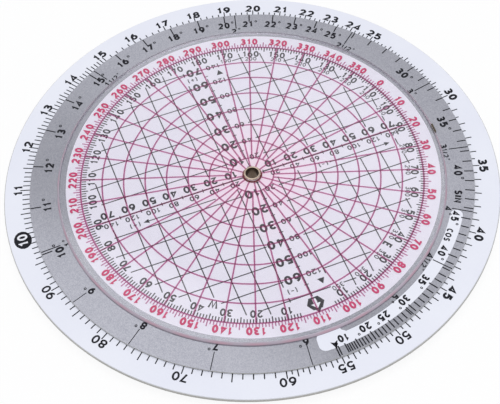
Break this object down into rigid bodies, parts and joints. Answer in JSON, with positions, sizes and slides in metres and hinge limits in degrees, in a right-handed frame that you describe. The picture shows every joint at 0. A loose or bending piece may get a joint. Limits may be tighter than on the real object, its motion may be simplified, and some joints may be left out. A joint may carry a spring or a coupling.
{
  "type": "circular slide rule",
  "caption": "Round double-sided slide rule for flight planning: scaled base, turning wind disc and clear compass rose in front, computing dial and clear cursor behind, on a hollow eyelet.",
  "frame": {"origin": "on the pivot axis, at the flat of the eyelet's set end on the back, which the rule lies on", "axes": "+Z along the pivot towards the wind side, +Y towards the index of the base disc's scale"},
  "size_m": [0.1524, 0.1524, 0.0068],
  "materials": {
    "white_plastic": "satin white sheet with printed scales",
    "silver_plastic": "white sheet under a fine-grained silver print",
    "clear_plastic": "clear polished acrylic",
    "brass": "bright rolled brass",
    "spring_bronze": "dull spring bronze",
    "slip_film": "translucent film"
  },
  "bodies": {
    "base": {"base_disc": "white_plastic", "hub_eyelet": "brass", "eyelet_washer": "brass", "spring_washer": "spring_bronze", "wind_slip_washer": "slip_film", "dial_slip_washer": "slip_film"},
    "wind": {"wind_disc": "silver_plastic"},
    "rose": {"rose_disc": "clear_plastic"},
    "dial": {"computing_dial": "white_plastic", "cursor_slip_washer": "slip_film"},
    "hairline": {"cursor": "clear_plastic"}
  },
  "joints": [
    {"name": "wind_turn", "type": "hinge", "parent": "base", "child": "wind", "pos_m": [0, 0, 0.00491], "axis": [0, 0, 1], "continuous": true},
    {"name": "rose_turn", "type": "hinge", "parent": "base", "child": "rose", "pos_m": [0, 0, 0.00586], "axis": [0, 0, 1], "continuous": true},
    {"name": "dial_turn", "type": "hinge", "parent": "base", "child": "dial", "pos_m": [0, 0, 0.00261], "axis": [0, 0, 1], "continuous": true},
    {"name": "cursor_turn", "type": "hinge", "parent": "base", "child": "hairline", "pos_m": [0, 0, 0.00166], "axis": [0, 0, 1], "continuous": true}
  ]
}
